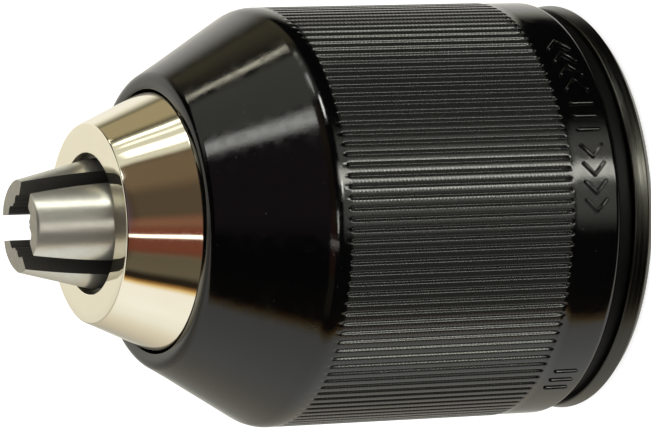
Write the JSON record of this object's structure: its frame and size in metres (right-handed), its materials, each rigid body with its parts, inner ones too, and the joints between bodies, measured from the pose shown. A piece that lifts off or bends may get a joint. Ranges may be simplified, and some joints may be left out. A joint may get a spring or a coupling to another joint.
{
  "type": "keyless drill chuck",
  "caption": "Keyless drill chuck: ribbed plastic grip sleeve, conical metal nose, inclined sliding jaws driven by a split nut, and a threaded spindle hole.",
  "frame": {"origin": "centre of the rear face, where the spindle thread opens; the chuck stands on this face", "axes": "+Z along the spindle axis towards the jaws; -Y towards the first jaw"},
  "size_m": [0.043, 0.0431, 0.0612],
  "materials": {
    "body_steel": "machined",
    "nose_metal": "fine turned, nickelled",
    "rear_metal": "dark, circumferentially brushed",
    "black_washer": "matt",
    "felt": "felt",
    "race_steel": "ground",
    "cage_brass": "plain",
    "ball_steel": "polished",
    "spring_steel": "plain",
    "nut_steel": "phosphated",
    "drive_steel": "plain",
    "sleeve_plastic": "glossy black, ribbed grip",
    "jaw_steel": "satin ground"
  },
  "bodies": {
    "body": {"chuck_body": "body_steel", "nosepiece": "nose_metal", "rear_ring": "rear_metal", "sleeve_washer": "black_washer", "dust_ring": "felt", "ratchet_race": "race_steel"},
    "nut": {"nut_half_a": "nut_steel", "nut_half_b": "nut_steel", "nut_band": "nut_steel", "front_race": "race_steel", "spring_washer": "spring_steel", "pawl_spring": "spring_steel"},
    "sleeve": {"grip_sleeve": "sleeve_plastic", "drive_ring": "drive_steel", "sleeve_clip": "spring_steel"},
    "cage": {"ball_cage": "cage_brass", "bearing_balls": "ball_steel"},
    "jaw_a": {"jaw_1": "jaw_steel"},
    "jaw_b": {"jaw_2": "jaw_steel"},
    "jaw_c": {"jaw_3": "jaw_steel"}
  },
  "joints": [
    {"name": "nut_turn", "type": "hinge", "parent": "body", "child": "nut", "pos_m": [0, 0, 0.0324], "axis": [0, 0, 1], "range_deg": [-748, 2660]},
    {"name": "sleeve_lock", "type": "hinge", "parent": "nut", "child": "sleeve", "pos_m": [0, 0, 0.03], "axis": [0, 0, 1], "range_deg": [-10, 0]},
    {"name": "cage_turn", "type": "hinge", "parent": "body", "child": "cage", "pos_m": [0, 0, 0.0263], "axis": [0, 0, 1], "range_deg": [-375, 1331]},
    {"name": "jaw_1_slide", "type": "slide", "parent": "body", "child": "jaw_a", "axis": [0.009, -0.2587, -0.9659], "range_m": [-0.0052, 0.0185]},
    {"name": "jaw_2_slide", "type": "slide", "parent": "body", "child": "jaw_b", "axis": [0.2195, 0.1372, -0.9659], "range_m": [-0.0052, 0.0185]},
    {"name": "jaw_3_slide", "type": "slide", "parent": "body", "child": "jaw_c", "axis": [-0.2285, 0.1215, -0.9659], "range_m": [-0.0052, 0.0185]}
  ],
  "couplings": [
    {"joint": "cage_turn", "follows": "nut_turn", "ratio": 0.5},
    {"joint": "jaw_1_slide", "follows": "nut_turn", "m_per_rad": 0.00039789},
    {"joint": "jaw_2_slide", "follows": "nut_turn", "m_per_rad": 0.00039789},
    {"joint": "jaw_3_slide", "follows": "nut_turn", "m_per_rad": 0.00039789}
  ]
}
